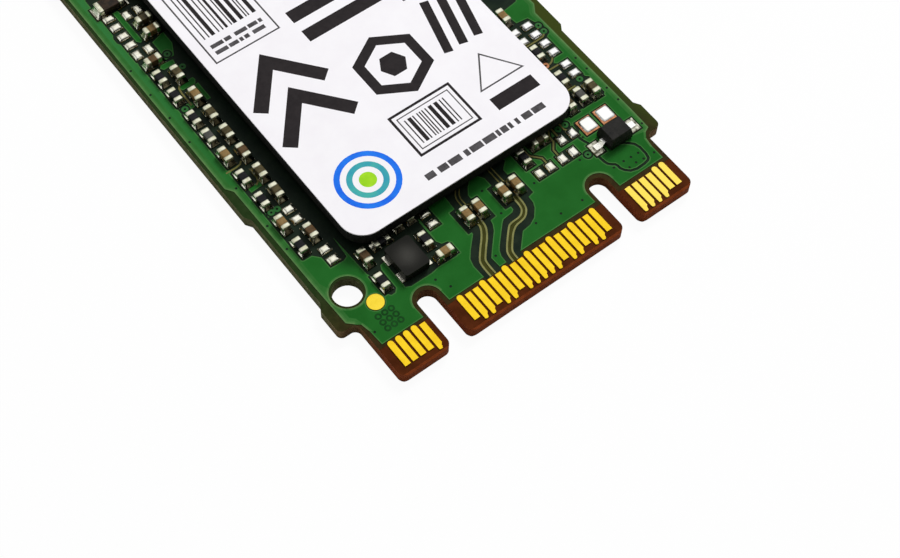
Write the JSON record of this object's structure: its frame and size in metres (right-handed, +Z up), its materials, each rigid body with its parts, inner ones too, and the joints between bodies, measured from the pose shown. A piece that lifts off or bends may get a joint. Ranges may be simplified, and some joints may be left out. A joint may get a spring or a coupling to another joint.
{
  "type": "gumstick solid state drive",
  "caption": "Slim gumstick solid state drive: a bare green board with a keyed gold card edge, chip parts along the margins and a white label over a dark heat pad.",
  "frame": {"origin": "middle of the card edge, on the underside of the board", "axes": "+X across the board, +Y from the card edge to the hold-down notch, +Z up on the side that carries the parts"},
  "size_m": [0.022, 0.08, 0.0022],
  "materials": {
    "solder_mask": "semi-gloss green",
    "gold": "polished gold plating",
    "tin": "reflowed tin",
    "copper_rim": "tinned copper",
    "mould": "matte black moulding",
    "coil": "matte dark grey",
    "heat_pad": "matte dark grey",
    "label": "smooth white",
    "capacitor": "satin brown",
    "resistor": "satin black"
  },
  "bodies": {
    "root": {"circuit_board": "solder_mask", "top_contacts": "gold", "bottom_contacts": "gold", "hold_down_ring": "gold", "camera_marks": "gold", "solder_lands": "tin", "bare_lands": "tin", "coil_lands": "copper_rim", "controller": "mould", "working_memory": "mould", "flash_package_1": "mould", "flash_package_2": "mould", "power_manager": "mould", "power_coils": "coil", "heat_pad": "heat_pad", "label": "label", "clock_package": "mould", "clock_terminals": "tin", "diode_body": "mould", "diode_leads": "tin", "coupling_capacitor_bodies": "capacitor", "coupling_capacitor_ends": "tin", "front_capacitor_bodies": "capacitor", "front_capacitor_ends": "tin", "front_resistor_bodies": "resistor", "front_resistor_ends": "tin", "left_capacitor_bodies": "capacitor", "left_capacitor_ends": "tin", "left_resistor_bodies": "resistor", "left_resistor_ends": "tin", "right_capacitor_bodies": "capacitor", "right_capacitor_ends": "tin", "right_resistor_bodies": "resistor", "right_resistor_ends": "tin", "rear_capacitor_bodies": "capacitor", "rear_capacitor_ends": "tin"}
  },
  "joints": []
}
